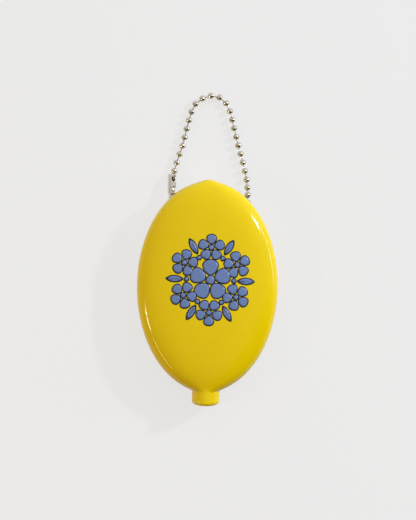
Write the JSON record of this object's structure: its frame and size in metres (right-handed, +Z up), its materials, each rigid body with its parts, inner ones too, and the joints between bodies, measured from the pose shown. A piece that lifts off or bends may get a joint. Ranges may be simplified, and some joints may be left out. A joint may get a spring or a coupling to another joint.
{
  "type": "squeeze coin case",
  "caption": "Oval squeeze coin case of soft vinyl with a slit back, and a ball chain looped through two holes and closed by a snap connector.",
  "frame": {"origin": "under the middle of the whole object, at the height of the surface it lies on", "axes": "+Z up, out of the plain front; +Y from the moulding neck to the chain; +X right as the front is read; the slit is on the underside"},
  "size_m": [0.051, 0.1136, 0.014],
  "materials": {
    "vinyl": "dip-moulded soft vinyl, glossy yellow",
    "nickel": "nickel-plated steel, bright"
  },
  "bodies": {
    "case": {"case": "vinyl", "inner_bead_01": "nickel", "inner_bead_02": "nickel", "inner_bead_03": "nickel", "inner_bead_04": "nickel", "inner_bead_05": "nickel", "inner_bead_06": "nickel", "inner_bead_07": "nickel", "inner_bead_08": "nickel", "inner_bead_09": "nickel", "inner_bead_10": "nickel", "inner_bead_11": "nickel", "inner_bead_12": "nickel", "inner_bead_13": "nickel", "inner_bead_14": "nickel"},
    "left_lip": {"lip_left": "vinyl"},
    "right_lip": {"lip_right": "vinyl"},
    "loop_01": {"end_bead_lower": "nickel", "end_bead_upper": "nickel", "loop_bead_01": "nickel", "loop_bead_02": "nickel"},
    "loop_02": {"loop_bead_24": "nickel", "loop_bead_03": "nickel"},
    "loop_03": {"loop_bead_23": "nickel", "loop_bead_04": "nickel"},
    "loop_04": {"loop_bead_22": "nickel", "loop_bead_05": "nickel"},
    "loop_05": {"loop_bead_21": "nickel", "loop_bead_06": "nickel"},
    "loop_06": {"loop_bead_20": "nickel", "loop_bead_07": "nickel"},
    "loop_07": {"loop_bead_19": "nickel", "loop_bead_08": "nickel"},
    "loop_08": {"loop_bead_18": "nickel", "loop_bead_09": "nickel"},
    "loop_09": {"loop_bead_17": "nickel", "loop_bead_10": "nickel"},
    "loop_10": {"loop_bead_11": "nickel", "loop_bead_12": "nickel", "loop_bead_13": "nickel", "loop_bead_14": "nickel", "loop_bead_15": "nickel", "loop_bead_16": "nickel"},
    "connector": {"connector": "nickel"}
  },
  "joints": [
    {"name": "lip_open", "type": "hinge", "parent": "case", "child": "left_lip", "pos_m": [-0.011, -0.0156, 0.0003], "axis": [0, 1, 0], "range_deg": [0, 45], "stiffness_Nm_per_rad": 0.02},
    {"name": "right_lip_open", "type": "hinge", "parent": "case", "child": "right_lip", "pos_m": [0.011, -0.0156, 0.0003], "axis": [0, -1, 0], "range_deg": [0, 45], "stiffness_Nm_per_rad": 0.02},
    {"name": "chain_swing", "type": "hinge", "parent": "case", "child": "loop_01", "pos_m": [0.0004, 0.0191, 0.00437], "axis": [0.9985, 0.0541, -0.0048], "range_deg": [0, 10]},
    {"name": "chain_swing_02", "type": "hinge", "parent": "loop_01", "child": "loop_02", "pos_m": [0.00018, 0.02524, 0.00163], "axis": [0.9994, 0.0112, -0.0321], "range_deg": [0, 10]},
    {"name": "chain_swing_03", "type": "hinge", "parent": "loop_02", "child": "loop_03", "pos_m": [0.00021, 0.02834, 0.00139], "axis": [0.9998, 0.0138, -0.0151], "range_deg": [0, 10]},
    {"name": "chain_swing_04", "type": "hinge", "parent": "loop_03", "child": "loop_04", "pos_m": [0.0002, 0.03143, 0.0012], "axis": [0.9999, 0.0157, -0.0002], "range_deg": [0, 10]},
    {"name": "chain_swing_05", "type": "hinge", "parent": "loop_04", "child": "loop_05", "pos_m": [0.00028, 0.03449, 0.0012], "axis": [0.9998, 0.019, 0], "range_deg": [0, 10]},
    {"name": "chain_swing_06", "type": "hinge", "parent": "loop_05", "child": "loop_06", "pos_m": [0.00034, 0.03755, 0.0012], "axis": [0.9997, 0.0225, 0], "range_deg": [0, 10]},
    {"name": "chain_swing_07", "type": "hinge", "parent": "loop_06", "child": "loop_07", "pos_m": [0.0003, 0.04065, 0.0012], "axis": [0.9997, 0.0235, 0], "range_deg": [0, 10]},
    {"name": "chain_swing_08", "type": "hinge", "parent": "loop_07", "child": "loop_08", "pos_m": [0.00026, 0.04376, 0.0012], "axis": [0.9997, 0.0244, 0], "range_deg": [0, 10]},
    {"name": "chain_swing_09", "type": "hinge", "parent": "loop_08", "child": "loop_09", "pos_m": [0.00028, 0.04687, 0.0012], "axis": [0.9996, 0.0274, 0], "range_deg": [0, 10]},
    {"name": "chain_swing_10", "type": "hinge", "parent": "loop_09", "child": "loop_10", "pos_m": [0.0003, 0.04995, 0.0012], "axis": [0.9995, 0.0317, 0], "range_deg": [0, 10]},
    {"name": "connector_slide", "type": "slide", "parent": "loop_01", "child": "connector", "axis": [-1, 0, 0], "range_m": [0, 0.0034]}
  ],
  "couplings": [
    {"joint": "right_lip_open", "follows": "lip_open", "ratio": 1},
    {"joint": "chain_swing_02", "follows": "chain_swing", "ratio": 1},
    {"joint": "chain_swing_03", "follows": "chain_swing", "ratio": 1},
    {"joint": "chain_swing_04", "follows": "chain_swing", "ratio": 1},
    {"joint": "chain_swing_05", "follows": "chain_swing", "ratio": 1},
    {"joint": "chain_swing_06", "follows": "chain_swing", "ratio": 1},
    {"joint": "chain_swing_07", "follows": "chain_swing", "ratio": 1},
    {"joint": "chain_swing_08", "follows": "chain_swing", "ratio": 1},
    {"joint": "chain_swing_09", "follows": "chain_swing", "ratio": 1},
    {"joint": "chain_swing_10", "follows": "chain_swing", "ratio": 1}
  ]
}
